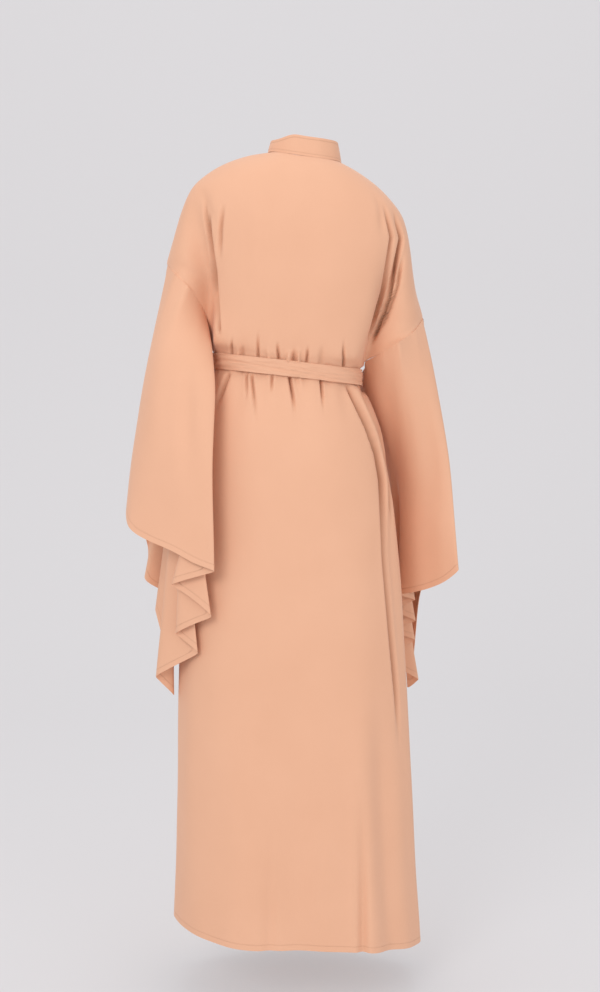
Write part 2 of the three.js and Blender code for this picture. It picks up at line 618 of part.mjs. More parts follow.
// The stand collar follows the neckline from one side of the centre front round to the other.
const neckline = [
  ...leftFrontGrid[0].slice(LAP_COLUMNS),
  ...backGrid[0].slice(1),
  ...rightFrontGrid[0].slice(1, FRONT_COLUMNS + 1),
];
neckline[0].x += 0.4;
neckline[neckline.length - 1].x -= 0.4;
const COLLAR_ROWS = [0, 0.5, 1];
const collarGrid = COLLAR_ROWS.map((up) =>
  neckline.map((p) => {
    const away = vec(p.x, p.y, 0).normalize();
    const dip = COLLAR_LEFT_DIP * smoothstep(p.x, 15, 64) * (1 - 0.5 * smoothstep(-p.y, 10, 55));
    const height = COLLAR_HEIGHT - dip;
    return p
      .clone()
      .addScaledVector(away, -COLLAR_LEAN * up ** 1.3)
      .add(vec(0, 0, 0.5 + height * up));
  }),
).reverse();
addPiece("collar", wall(collarGrid, normalsOf(collarGrid), WALL));

// The belt goes once round the waist over the cloth.
const BELT_GAP = 0.5;
const BELT_ROWS = [1.08, 2, 2.92];
const ring = (at) => {
  const clean = (side, face) => {
    const { points } = skirtCurve(at, side, face);
    const girth = lengthsAlong(points).at(-1);
    return spaced(points, evenly(BELT_QUARTER_COLUMNS)(girth, girth));
  };
  return [
    ...clean(1, 1).reverse(),
    ...clean(-1, 1).slice(1),
    ...clean(-1, -1).reverse().slice(1),
    ...clean(1, -1).slice(1, -1),
  ];
};
const waist = BELT_ROWS.map(ring);
const waistNormals = normalsOf(waist, true);
const beltGrid = waist.map((line, r) =>
  line.map((p, c) => {
    const lift = p.y < 0 ? overlapRise(p) : 0;
    return p.clone().addScaledVector(waistNormals[r][c], BELT_GAP + BELT_WALL + lift);
  }),
);
addPiece("belt", wall(beltGrid, normalsOf(beltGrid, true), BELT_WALL, true));

// The knot at the centre front. seat is how far its middle stands off the belt that it is tied in.
const KNOT = { half: 21, deep: 11, tall: 18, seat: 9.95 };
const waistFront = SKIRT[2].shallow + OVERLAP_RISE + BELT_GAP + BELT_WALL;
const knotCentre = place(2, -(waistFront + KNOT.seat), SKIRT[2].level);
const knot = new THREE.SphereGeometry(1, 18, 12);
const knotPoints = knot.getAttribute("position");
for (let i = 0; i < knotPoints.count; i++) {
  const p = vec().fromBufferAttribute(knotPoints, i);
  const pinch = 1 - 0.18 * bell((p.x - 0.25 * p.y) / 0.3);
  knotPoints.setXYZ(i, p.x * KNOT.half, p.z * KNOT.deep * pinch, p.y * KNOT.tall * pinch);
}
knot.scale(1, -1, 1);
addPiece("belt_knot", knot.translate(knotCentre.x, knotCentre.y, knotCentre.z));

// The two ends start under the knot and hang on the fronts.
const TAIL_WALL = 1.6;
const TAIL_GAP = 0.7;
const TAIL_STANDS_OUT = 6;
const TAIL_TOP_RISE = 6.4;
function tail(from, to, fromLow, toLow) {
  const rows = rowIndices.slice(UNDERARM_ROW + 5, UNDERARM_ROW + 12);
  const lines = rows.map((row, i) => {
    const down = i / (rows.length - 1);
    const [start, end] = [lerp(from, fromLow, down), lerp(to, toLow, down)];
    const rise = TAIL_WALL + TAIL_GAP + TAIL_STANDS_OUT * (1 - smoothstep(down, 0, 0.4));
    return [0, 1 / 3, 2 / 3, 1].map((t) => {
      const x = lerp(start, end, t);
      const near = halfRow(row, Math.sign(x) || 1, -1, () => [Math.abs(x)])[0];
      return near.add(vec(0, -(OVERLAP_RISE + rise), 0));
    });
  });
  const underKnot = lines[0].map((p) => p.clone().add(vec(0, 0, TAIL_TOP_RISE)));
  const grid = [underKnot, ...lines];
  return wall(grid, normalsOf(grid), TAIL_WALL);
}
addPiece("belt_tail_left", tail(4, 32, 12, 41));
addPiece("belt_tail_right", tail(-28, 0, -31, -3));

export default dress;
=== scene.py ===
# The looks of a long-sleeved prayer dress in peach crepe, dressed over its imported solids.
# It is worn open-hemmed with a stand collar, wide cascading sleeves and its own tie belt.
import math

import bmesh
import bpy
import numpy as np
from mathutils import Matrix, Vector, kdtree, noise


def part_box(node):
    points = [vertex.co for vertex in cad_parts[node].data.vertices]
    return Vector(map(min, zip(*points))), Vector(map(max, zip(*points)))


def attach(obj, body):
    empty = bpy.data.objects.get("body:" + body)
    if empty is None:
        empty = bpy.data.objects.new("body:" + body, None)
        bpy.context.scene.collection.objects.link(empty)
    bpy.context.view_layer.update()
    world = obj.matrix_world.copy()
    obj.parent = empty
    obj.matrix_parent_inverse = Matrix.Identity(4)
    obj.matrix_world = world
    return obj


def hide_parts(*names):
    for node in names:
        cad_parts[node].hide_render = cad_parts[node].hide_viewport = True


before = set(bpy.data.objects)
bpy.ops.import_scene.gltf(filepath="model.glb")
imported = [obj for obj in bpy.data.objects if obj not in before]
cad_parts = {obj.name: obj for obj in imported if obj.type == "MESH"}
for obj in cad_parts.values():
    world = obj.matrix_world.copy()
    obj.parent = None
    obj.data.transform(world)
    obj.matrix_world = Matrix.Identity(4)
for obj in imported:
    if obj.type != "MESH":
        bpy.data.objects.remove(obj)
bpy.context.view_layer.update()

# The back
# One full-length panel of fine matte crepe with dropped shoulders, joined to the fronts at
# shoulders and sides. Its skin is the outer side of its solid, rounded and then creased.
MM = 0.001
CLOTH_WALL = 1.6 * MM
CLOTH_THICKNESS = 1.0 * MM
PANEL_ROWS = 33
LONG_CELLS_FROM = 25 / 32
PANEL_SLACK = {"height": 1.6 * MM, "size": 55 * MM}
LEFT_ARMHOLE = (10 / 32, 16 / 32)
RIGHT_ARMHOLE = (12 / 32, 16 / 32)
BODY_MIDDLE = Vector((23 * MM, 0, 0))
SAME_SPOT = 0.001 * MM
SAME_LENGTH = 0.002 * MM
SAME_SHARE = 1e-4
FIRST = 0.001
LAST = 0.999
SHARP_TURN = math.radians(30)


def patches_of(cloth):
    """The separate sheets of faces in a mesh."""
    left = dict.fromkeys(cloth.faces)
    patches = []
    while left:
        start = next(iter(left))
        patch = {start: None}
        growing = [start]
        while growing:
            for edge in growing.pop().edges:
                for face in edge.link_faces:
                    if face not in patch:
                        patch[face] = None
                        growing.append(face)
        for face in patch:
            left.pop(face)
        patches.append(list(patch))
    return patches


def outer_side(node, wall, own_middle=False):
    """A solid's outer side alone: its rims and its inner side are cut away."""
    cloth = bmesh.new()
    cloth.from_mesh(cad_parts[node].data)
    cloth.verts.layers.float.new("down")
    cloth.verts.layers.float.new("across")
    cloth.verts.layers.float.new("crease_vert")
    bmesh.ops.remove_doubles(cloth, verts=cloth.verts, dist=SAME_SPOT)
    rims = [f for f in cloth.faces if any(abs(e.calc_length() - wall) < SAME_LENGTH for e in f.edges)]
    bmesh.ops.delete(cloth, geom=rims, context="FACES")

    def outward(patch):
        middle = sum((f.calc_center_median() for f in patch), Vector()) / len(patch)
        if not own_middle:
            middle = Vector((BODY_MIDDLE.x, BODY_MIDDLE.y, middle.z))
        return sum(f.normal.dot(f.calc_center_median() - middle) * f.calc_area() for f in patch)

    inner = min(patches_of(cloth), key=outward)
    bmesh.ops.delete(cloth, geom=inner, context="FACES")
    return cloth


def rings_of(cloth):
    """The open edges of a cloth, each as its corners in order."""
    left = dict.fromkeys(v for v in cloth.verts if v.is_boundary)
    rings = []
    while left:
        ring = [next(iter(left))]
        while ring[-1] in left:
            left.pop(ring[-1])
            beside = [e.other_vert(ring[-1]) for e in ring[-1].link_edges if e.is_boundary]
            following = [v for v in beside if v in left]
            if following:
                ring.append(following[0])
        rings.append(ring)
    return rings


def row_below(cloth, row, start, used, closed):
    """The next row of corners, the cuts through the cells between, and those cells' halves."""
    found = [start]
    cuts = []
    halves = set()

    def half_on(edge, other_than=None):
        if edge is None:
            return None
        free = [f for f in edge.link_faces if f not in used and f not in halves and f != other_than]
        return free[0] if free else None

    for near, far in zip(row, row[1:] + (row[:1] if closed else [])):
        below = found[-1]
        first = half_on(cloth.edges.get((near, far)))
        if first is None:
            return None
        tip = next(v for v in first.verts if v not in (near, far))
        cut = cloth.edges.get((far, below) if tip == below else (near, tip))
        second = half_on(cut, first)
        if second is None:
            return None
        corner = next(v for v in second.verts if v not in cut.verts)
        if tip != below and corner != below:
            return None
        found.append(corner if tip == below else tip)
        cuts.append(cut)
        halves |= {first, second}
    if closed and found.pop() != found[0]:
        return None
    return found, cuts, halves


def rows_of(cloth, count, closed):
    """The rows of corners of a cloth whose four-sided cells were each cut in two, and the cuts."""
    rings = rings_of(cloth)
    if closed:
        starts = [(max(rings, key=lambda ring: sum(v.co.z for v in ring) / len(ring)), None)]
    else:
        ring = rings[0]
        columns = len(ring) // 2 + 2 - count
        turned = [ring[i:] + ring[:i] for i in range(len(ring))]
        turned += [line[::-1] for line in turned]
        starts = [(line[:columns], line[:1] + line[::-1][: count - 1]) for line in turned]
    for first_row, side in starts:
        rows = [first_row]
        cuts = []
        used = set()
        while len(rows) < count:
            row = rows[-1]
            beside = [side[len(rows)]] if side else [e.other_vert(row[0]) for e in row[0].link_edges]
            steps = (row_below(cloth, row, v, used, closed) for v in beside if v not in row)
            step = next((s for s in steps if s), None)
            if step is None:
                break
            rows.append(step[0])
            cuts += step[1]
            used |= step[2]
        if len(used) == len(cloth.faces):
            if rows[0][0].co.z < rows[-1][0].co.z:
                rows.reverse()
            if not closed and rows[0][0].co.x > rows[0][-1].co.x:
                rows = [row[::-1] for row in rows]
            return rows, cuts
    raise RuntimeError("a cloth's rows weren't found")


def skin_of(
    node, rows, wall=CLOTH_WALL, closed=False, rounding=2, tall_from=1.0, tall_cuts=0, wide_cuts=0
):
    """A solid's outer side as smooth cloth, marked with how far down and across each point is."""
    cloth = outer_side(node, wall, own_middle=closed and node.startswith("sleeve"))
    grid, cuts = rows_of(cloth, rows, closed)
    down = cloth.verts.layers.float["down"]
    across = cloth.verts.layers.float["across"]
    for r, row in enumerate(grid):
        for c, corner in enumerate(row):
            corner[down] = r / (len(grid) - 1)
            corner[across] = c / (len(row) - 1)
    if not closed:
        kept_sharp = cloth.verts.layers.float["crease_vert"]
        for side in ([row[0] for row in grid], [row[-1] for row in grid]):
            for before, corner, after in zip(side, side[1:], side[2:]):
                if (corner.co - before.co).angle(after.co - corner.co) > SHARP_TURN:
                    corner[kept_sharp] = 1
    bmesh.ops.dissolve_edges(cloth, edges=cuts, use_verts=False)
    rough = bpy.data.meshes.new(node)
    cloth.to_mesh(rough)
    piece = bpy.data.objects.new(node + "_cloth", rough)
    bpy.context.collection.objects.link(piece)
    rounded = piece.modifiers.new("rounding", "SUBSURF")
    rounded.levels = rounded.render_levels = rounding
    rounded.boundary_smooth = "PRESERVE_CORNERS"
    ready = piece.evaluated_get(bpy.context.evaluated_depsgraph_get())
    smooth = bpy.data.meshes.new_from_object(ready)
    piece.modifiers.clear()
    piece.data = smooth
    fine = bmesh.new()
    fine.from_mesh(smooth)
    down = fine.verts.layers.float["down"]
    tall = []
    for edge in fine.edges:
        ends = [v[down] for v in edge.verts]
        if abs(ends[0] - ends[1]) > SAME_SHARE / 10 and min(ends) > tall_from - SAME_SHARE:
            tall.append(edge)
    if tall_cuts:
        bmesh.ops.subdivide_edges(fine, edges=tall, cuts=tall_cuts, use_grid_fill=True)
    if wide_cuts:
        level = [abs(e.verts[0][down] - e.verts[1][down]) < SAME_SHARE / 10 for e in fine.edges]
        wide = [e for e, is_level in zip(fine.edges, level) if is_level]
        bmesh.ops.subdivide_edges(fine, edges=wide, cuts=wide_cuts, use_grid_fill=True)
    fine.to_mesh(smooth)
    return piece


def points_of(piece):
    flat = np.empty(3 * len(piece.data.vertices))
    piece.data.vertices.foreach_get("co", flat)
    return flat.reshape(-1, 3)


def normals_of(piece):
    flat = np.empty(3 * len(piece.data.vertices), dtype=np.float32)
    piece.data.vertex_normals.foreach_get("vector", flat)
    return flat.reshape(-1, 3)


def move_points(piece, points):
    piece.data.vertices.foreach_set("co", points.ravel())
    piece.data.update()


def mark(piece, name):
    values = np.empty(len(piece.data.vertices), dtype=np.float32)
    piece.data.attributes[name].data.foreach_get("value", values)
    return values


def write_mark(piece, name, values):
    spot = piece.data.attributes.get(name) or piece.data.attributes.new(name, "FLOAT", "POINT")
    spot.data.foreach_set("value", np.asarray(values, dtype=np.float32))


def ease(t):
    t = np.clip(t, 0, 1)
    return t * t * (3 - 2 * t)


CREASE = ("width", "ridge", "start", "end", "path")
DEEPEST_CREASE = 13
TIGHT_CREASE = 5
CREASE_SHOULDER = 0.3
CREASE_SHOULDER_WIDTH = math.sqrt(5)
FACING_SHARPNESS = 3
FACING_MARGIN = 0.4


def creases_in(rows):
    """Creases by name, in millimetres. Each end fades over its share of the path."""
    return [dict(zip(CREASE, row)) for row in rows]


def press(piece, creases, facing):
    """Works creases into the side of a cloth that faces back, 1, or front, -1, and marks how deep
    they are as a mask for painted shade in the creases. Millimetres."""
    points = points_of(piece)
    normals = normals_of(piece)
    shown = ease(normals[:, 1] * facing * FACING_SHARPNESS + FACING_MARGIN)
    place = points[:, [0, 2]] / MM
    move = np.zeros(len(points))
    depth = np.zeros(len(points))
    for crease in creases:
        path = np.array(crease["path"], dtype=float)
        runs = np.diff(path, axis=0)
        lengths = np.hypot(*runs.T)
        nearest = np.full(len(points), np.inf)
        along = np.zeros(len(points))
        for k, (run, length) in enumerate(zip(runs, lengths)):
            off = place - path[k]
            t = np.clip(off @ run / length**2, 0, 1)
            gap = np.hypot(*(off - t[:, None] * run).T)
            closer = gap < nearest
            nearest[closer] = gap[closer]
            along[closer] = ((lengths[:k].sum() + t * length) / lengths.sum())[closer]
        t = nearest / crease["width"]
        core = (1 + CREASE_SHOULDER) * np.exp(-t * t)
        profile = core - CREASE_SHOULDER * np.exp(-((t / CREASE_SHOULDER_WIDTH) ** 2))
        fade = ease(along / crease["start"]) * ease((1 - along) / crease["end"])
        move += crease["ridge"] * profile * fade
        tight = min(TIGHT_CREASE / crease["width"], 1) ** 3
        sunk = np.exp(-2 * t * t) * fade * tight * -crease["ridge"] / DEEPEST_CREASE
        depth = np.maximum(depth, sunk)
    # The crease mask: how deep and tight each crease is, which the crepe uses to paint shade into the
    # creases.
    write_mark(piece, "painted_crease_shade", depth * shown)
    move_points(piece, points + normals * (move * shown * MM)[:, None])


SLACK_SHAPE = Vector((1, 1, 0.35))


def slacken(piece, height, size, seed):
    """Uneven slack all over a cloth, longer down than across."""
    points = points_of(piece)
    normals = normals_of(piece)
    stretch = SLACK_SHAPE / size
    drift = [noise.noise(Vector(p) * stretch + Vector((seed, 0, 0))) for p in points]
    move_points(piece, points + normals * (np.array(drift) * height)[:, None])


def mark_edges(piece, stitched):
    """Marks each point's distance from the nearest topstitched edge, and its place along it."""
    cloth = bmesh.new()
    cloth.from_mesh(piece.data)
    down = cloth.verts.layers.float["down"]
    across = cloth.verts.layers.float["across"]
    found = []
    for ring in rings_of(cloth):
        run = 0
        for before, v in zip([ring[0]] + ring, ring):
            run += (v.co - before.co).length
            if stitched(v[down], v[across]):
                found.append((v.co.copy(), run))
    tree = kdtree.KDTree(len(found))
    for i, (place, _) in enumerate(found):
        tree.insert(place, i)
    tree.balance()
    nearest = [tree.find(v.co) for v in cloth.verts]
    write_mark(piece, "from_edge", [gap for _, _, gap in nearest])
    write_mark(piece, "along_edge", [found[i][1] for _, i, _ in nearest])


SHARP_EDGE = math.radians(60)


def finish_cloth(piece, node, material, thickness=CLOTH_THICKNESS):
    """Gives a cloth its thickness inwards, its material and its place on the dress."""
    wall = piece.modifiers.new("thickness", "SOLIDIFY")
    wall.thickness = thickness
    wall.offset = -1
    ready = piece.evaluated_get(bpy.context.evaluated_depsgraph_get())
    solid = bpy.data.meshes.new_from_object(ready)
    piece.modifiers.clear()
    piece.data = solid
    solid.shade_smooth()
    solid.set_sharp_from_angle(angle=SHARP_EDGE)
    solid.materials.clear()
    solid.materials.append(material)
    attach(piece, "root")
    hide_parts(node)


def nodes_in(tree):
    """A function that adds a node with its settings."""

    def add(kind, **settings):
        node = tree.nodes.new(kind)
        for name, value in settings.items():
            setattr(node, name, value)
        return node

    return add


def group_with(name, inputs, outputs):
    """A new node group with its sockets. Those whose name is a colour's carry one."""
    group = bpy.data.node_groups.new(name, "ShaderNodeTree")
    for way, sockets in (("INPUT", inputs), ("OUTPUT", outputs)):
        for socket in sockets:
            kind = "NodeSocketColor" if socket in ("Light", "Dark", "Colour") else "NodeSocketFloat"
            group.interface.new_socket(socket, in_out=way, socket_type=kind)
    return group


PEBBLES = 1100
THREADS = (900, 900, 60)
DYE_PATCHES = 7
PEBBLE_SHARE = 0.5
DYE_RANGE = (0.45, 1.05)
ROUGHNESS = (0.62, 0.78)


def grain_group():
    """Crepe's fine pebbled grain, its faint threads and a slight unevenness of its dye."""
    group = group_with("crepe grain", ("Light", "Dark", "Grain"), ("Colour", "Roughness", "Height"))
    add = nodes_in(group)
    link = group.links.new
    given = add("NodeGroupInput")
    out = add("NodeGroupOutput")
    place = add("ShaderNodeTexCoord").outputs["Object"]
    pebble = add("ShaderNodeTexNoise")
    pebble.inputs["Scale"].default_value = PEBBLES
    pebble.inputs["Detail"].default_value = 2
    link(place, pebble.inputs["Vector"])
    squeeze = add("ShaderNodeMapping")
    squeeze.inputs["Scale"].default_value = THREADS
    link(place, squeeze.inputs["Vector"])
    thread = add("ShaderNodeTexNoise")
    thread.inputs["Scale"].default_value = 1
    thread.inputs["Detail"].default_value = 1
    link(squeeze.outputs["Vector"], thread.inputs["Vector"])
    dye = add("ShaderNodeTexNoise")
    dye.inputs["Scale"].default_value = DYE_PATCHES
    dye.inputs["Detail"].default_value = 3
    link(place, dye.inputs["Vector"])
    both = add("ShaderNodeMath", operation="ADD")
    link(pebble.outputs["Fac"], both.inputs[0])
    link(thread.outputs["Fac"], both.inputs[1])
    height = add("ShaderNodeMath", operation="MULTIPLY")
    link(both.outputs[0], height.inputs[0])
    link(given.outputs["Grain"], height.inputs[1])
    link(height.outputs[0], out.inputs["Height"])
    speck = add("ShaderNodeMath", operation="MULTIPLY_ADD")
    link(pebble.outputs["Fac"], speck.inputs[0])
    speck.inputs[1].default_value = PEBBLE_SHARE
    link(dye.outputs["Fac"], speck.inputs[2])
    share = add("ShaderNodeMapRange")
    share.inputs["From Min"].default_value = DYE_RANGE[0]
    share.inputs["From Max"].default_value = DYE_RANGE[1]
    link(speck.outputs[0], share.inputs["Value"])
    tone = add("ShaderNodeMix", data_type="RGBA")
    link(share.outputs["Result"], tone.inputs["Factor"])
    link(given.outputs["Light"], tone.inputs["A"])
    link(given.outputs["Dark"], tone.inputs["B"])
    link(tone.outputs["Result"], out.inputs["Colour"])
    rough = add("ShaderNodeMapRange")
    rough.inputs["To Min"].default_value = ROUGHNESS[0]
    rough.inputs["To Max"].default_value = ROUGHNESS[1]
    link(pebble.outputs["Fac"], rough.inputs["Value"])
    link(rough.outputs["Result"], out.inputs["Roughness"])
    return group


TURNING_STEP = (-0.4 * MM, 1.2 * MM)
GROOVE_SIDE = (0.2 * MM, 1.6 * MM)
GROOVE_DEPTH = 0.9
STITCH_HALF_WIDTH = 0.4 * MM
STITCH_LENGTH = 2.8 * MM
STITCH_FROM = -0.45
STITCH_HEIGHT = 0.5


def stitch_group():
    """A turned edge: the doubled cloth up to its topstitching, and the stitches in their groove."""
    group = group_with("turned edge", ("Turning",), ("Height", "Shade"))
    add = nodes_in(group)
    link = group.links.new
    given = add("NodeGroupInput")
    out = add("NodeGroupOutput")
    gap = add("ShaderNodeAttribute", attribute_name="from_edge").outputs["Fac"]
    along = add("ShaderNodeAttribute", attribute_name="along_edge").outputs["Fac"]
    past = add("ShaderNodeMath", operation="SUBTRACT")
    link(gap, past.inputs[0])
    link(given.outputs["Turning"], past.inputs[1])
    step = add("ShaderNodeMapRange", interpolation_type="SMOOTHSTEP")
    step.inputs["From Min"].default_value = TURNING_STEP[0]
    step.inputs["From Max"].default_value = TURNING_STEP[1]
    step.inputs["To Min"].default_value = 1
    step.inputs["To Max"].default_value = 0
    link(past.outputs[0], step.inputs["Value"])
    side = add("ShaderNodeMath", operation="ABSOLUTE")
    link(past.outputs[0], side.inputs[0])
    groove = add("ShaderNodeMapRange", interpolation_type="SMOOTHSTEP")
    groove.inputs["From Min"].default_value = GROOVE_SIDE[0]
    groove.inputs["From Max"].default_value = GROOVE_SIDE[1]
    groove.inputs["To Min"].default_value = 1
    groove.inputs["To Max"].default_value = 0
    link(side.outputs[0], groove.inputs["Value"])
    thread = add("ShaderNodeMath", operation="COMPARE")
    thread.inputs[1].default_value = 0
    thread.inputs[2].default_value = STITCH_HALF_WIDTH
    link(past.outputs[0], thread.inputs[0])
    pace = add("ShaderNodeMath", operation="MULTIPLY")
    pace.inputs[1].default_value = 2 * math.pi / STITCH_LENGTH
    link(along, pace.inputs[0])
    wave = add("ShaderNodeMath", operation="SINE")
    link(pace.outputs[0], wave.inputs[0])
    stitch = add("ShaderNodeMath", operation="GREATER_THAN")
    stitch.inputs[1].default_value = STITCH_FROM
    link(wave.outputs[0], stitch.inputs[0])
    sewn = add("ShaderNodeMath", operation="MULTIPLY")
    link(thread.outputs[0], sewn.inputs[0])
    link(stitch.outputs[0], sewn.inputs[1])
    sunk = add("ShaderNodeMath", operation="MULTIPLY_ADD")
    link(groove.outputs["Result"], sunk.inputs[0])
    sunk.inputs[1].default_value = -GROOVE_DEPTH
    link(step.outputs["Result"], sunk.inputs[2])
    raised = add("ShaderNodeMath", operation="MULTIPLY_ADD")
    link(sewn.outputs[0], raised.inputs[0])
    raised.inputs[1].default_value = STITCH_HEIGHT
    link(sunk.outputs[0], raised.inputs[2])
    link(raised.outputs[0], out.inputs["Height"])
    # The groove mask, which the crepe uses to paint shade into the stitch groove.
    link(groove.outputs["Result"], out.inputs["Shade"])
    return group


def edge_points(piece, side, low, high):
    """A panel's edge points between two rows, on its left side as worn, 1, or its right, 0."""
    down = mark(piece, "down")
    across = mark(piece, "across")
    on_side = np.abs(across - side) < SAME_SHARE
    return points_of(piece)[on_side & (down > low - SAME_SHARE) & (down < high + SAME_SHARE)]


SEAM_DEPTH = 0.9 * MM
SEAM_HALF_WIDTH = 3.5 * MM


def sink_seam(piece, seam):
    """Draws a cloth in a little along a seam, as its stitches do."""
    edge = kdtree.KDTree(len(seam))
    for i, place in enumerate(seam):
        edge.insert(Vector(place), i)
    edge.balance()
    points = points_of(piece)
    normals = normals_of(piece)
    gap = np.array([edge.find(Vector(p))[2] for p in points])
    sink = SEAM_DEPTH * (1 - ease(gap / SEAM_HALF_WIDTH))
    move_points(piece, points - normals * sink[:, None])


GRAIN = grain_group()
TURNED_EDGE = stitch_group()
GRAIN_HEIGHT = 0.05
RELIEF_HEIGHT = 1.0 * MM
TURNING_HEIGHT = 0.32
GROOVE_SHADE = 0.14
CREASE_SHADE = 0.85
SHADE_TINT = (0.5, 0.4, 0.33)
SPECULAR = 0.28
SHEEN = 0.25
SHEEN_ROUGHNESS = 0.45
SHEEN_TINT = (1.0, 0.86, 0.76)


def crepe(name, light, dark, turning):
    """Matte crepe with a soft sheen, its grain, painted shade in its creases and stitch grooves, and
    its piece's turned edges.
    """
    material = bpy.data.materials.new(name)
    material.use_nodes = True
    tree = material.node_tree
    add = nodes_in(tree)
    link = tree.links.new
    shader = tree.nodes["Principled BSDF"]
    shader.inputs["Specular IOR Level"].default_value = SPECULAR
    shader.inputs["Sheen Weight"].default_value = SHEEN
    shader.inputs["Sheen Roughness"].default_value = SHEEN_ROUGHNESS
    shader.inputs["Sheen Tint"].default_value = (*SHEEN_TINT, 1)
    weave = add("ShaderNodeGroup", node_tree=GRAIN)
    weave.inputs["Light"].default_value = (*light, 1)
    weave.inputs["Dark"].default_value = (*dark, 1)
    weave.inputs["Grain"].default_value = GRAIN_HEIGHT
    edge = add("ShaderNodeGroup", node_tree=TURNED_EDGE)
    edge.inputs["Turning"].default_value = turning
    relief = add("ShaderNodeMath", operation="MULTIPLY_ADD")
    link(edge.outputs["Height"], relief.inputs[0])
    relief.inputs[1].default_value = TURNING_HEIGHT
    link(weave.outputs["Height"], relief.inputs[2])
    bump = add("ShaderNodeBump")
    bump.inputs["Distance"].default_value = RELIEF_HEIGHT
    bump.inputs["Strength"].default_value = 1
    link(relief.outputs[0], bump.inputs["Height"])
    # Painted shade in the topstitch grooves: the groove mask darkens the base colour.
    shaded = add("ShaderNodeMath", operation="MULTIPLY")
    link(edge.outputs["Shade"], shaded.inputs[0])
    shaded.inputs[1].default_value = GROOVE_SHADE
    # Painted shade: the crease mask, added to the groove shade, mixes the base colour towards a darker
    # shade tint.
    crease = add("ShaderNodeAttribute", attribute_name="painted_crease_shade")
    painted_shade_share = add("ShaderNodeMath", operation="MULTIPLY_ADD")
    link(crease.outputs["Fac"], painted_shade_share.inputs[0])
    painted_shade_share.inputs[1].default_value = CREASE_SHADE
    link(shaded.outputs[0], painted_shade_share.inputs[2])
    tone = add("ShaderNodeMix", data_type="RGBA")
    link(painted_shade_share.outputs[0], tone.inputs["Factor"])
    link(weave.outputs["Colour"], tone.inputs["A"])
    tone.inputs["B"].default_value = (*(d * s for d, s in zip(dark, SHADE_TINT)), 1)
    link(tone.outputs["Result"], shader.inputs["Base Color"])
    link(weave.outputs["Roughness"], shader.inputs["Roughness"])
    link(bump.outputs["Normal"], shader.inputs["Normal"])
    return material


PEACH_LIGHT = (0.83, 0.468, 0.305)
PEACH_DARK = (0.79, 0.435, 0.278)
DRESS_CREPE = crepe("crepe", PEACH_LIGHT, PEACH_DARK, turning=10 * MM)

BACK_CREASES = creases_in(
    [
        (3.4, -13, 0.2, 0.08, [(173, -105), (168, -157), (160, -216), (153, -330)]),
        (2.8, -8, 0.3, 0.2, [(179, -81), (176, -124), (165, -173), (162, -269)]),
        (3.5, -6, 0.4, 0.4, [(143, -94), (149, -144), (151, -204)]),
        (7, -2.5, 0.5, 0.4, [(190, -59), (173, -97), (159, -142)]),
        (3.6, -13, 0.25, 0.12, [(-156, -104), (-172, -156), (-150, -262), (-120, -348)]),
        (3.2, -10, 0.25, 0.12, [(-138, -88), (-154, -156), (-139, -252), (-113, -343)]),
        (3.2, -8, 0.3, 0.2, [(-176, -182), (-164, -243), (-137, -322)]),
        (7, -2.5, 0.5, 0.4, [(-117, -66), (-134, -105), (-138, -166)]),
        (2.4, -6, 0.6, 0.1, [(130, -331), (131, -372)]),
        (4, 3, 0.6, 0.1, [(120, -341), (118, -374)]),
        (3.5, -3, 0.6, 0.1, [(110, -346), (112, -372)]),
        (2.4, -6, 0.7, 0.1, [(83, -320), (83, -376)]),
        (4, 3, 0.6, 0.1, [(66, -350), (63, -376)]),
        (2.6, -7, 0.6, 0.1, [(49, -340), (46, -378)]),
        (4.5, 7, 0.6, 0.1, [(27, -354), (30, -380)]),
        (3, -4, 0.6, 0.1, [(19, -352), (20, -382)]),
        (4, 7, 0.6, 0.1, [(11, -350), (11, -382)]),
        (2.6, -7, 0.6, 0.1, [(-5, -348), (-2, -382)]),
        (5, -2.5, 0.6, 0.1, [(-30, -345), (-28, -384)]),
        (2.4, -7, 0.6, 0.1, [(-68, -335), (-69, -390)]),
        (2.4, -6, 0.1, 0.7, [(104, -396), (104, -448)]),
        (2.6, -7, 0.1, 0.7, [(95, -396), (85, -484)]),
        (2.6, -6, 0.1, 0.7, [(58, -398), (60, -438)]),
        (3, -10, 0.1, 0.7, [(28, -398), (16, -474)]),
        (5, 4, 0.1, 0.7, [(10, -400), (4, -436)]),
        (2.6, -8, 0.1, 0.7, [(-28, -402), (-33, -466)]),
        (
            3.8, -13, 0.04, 0.25,
            [
                (-72, -410), (-88, -445), (-109, -487), (-127, -536), (-136, -586),
                (-142, -728), (-155, -871), (-166, -979), (-172, -1080),
            ],
        ),
        (
            3.4, -11, 0.06, 0.3,
            [
                (-98, -416), (-114, -463), (-139, -517),
                (-152, -586), (-158, -675),
            ],
        ),
        (6, 5, 0.06, 0.5, [(-84, -412), (-101, -454), (-124, -505), (-142, -586), (-150, -728)]),
        (4, -7, 0.1, 0.5, [(136, -396), (146, -424), (157, -452)]),
        (9, -8, 0.8, 0.01, [(-100, -1100), (-104, -1299), (-105, -1480)]),
        (14, -5, 0.9, 0.01, [(62, -1160), (63, -1480)]),
        (20, 1.6, 0.4, 0.4, [(87, -49), (75, -183), (83, -322)]),
        (22, 1.4, 0.4, 0.4, [(-43, -54), (-29, -183), (-44, -331)]),
    ]
)

back = skin_of("back", PANEL_ROWS, tall_from=LONG_CELLS_FROM, tall_cuts=1, wide_cuts=1)
slacken(back, **PANEL_SLACK, seed=3)
press(back, BACK_CREASES, facing=1)
mark_edges(back, lambda down, across: down > LAST)
back_left_armhole = edge_points(back, 1, *LEFT_ARMHOLE)
back_right_armhole = edge_points(back, 0, *RIGHT_ARMHOLE)
sink_seam(back, back_left_armhole)
sink_seam(back, back_right_armhole)
finish_cloth(back, "back", DRESS_CREPE)

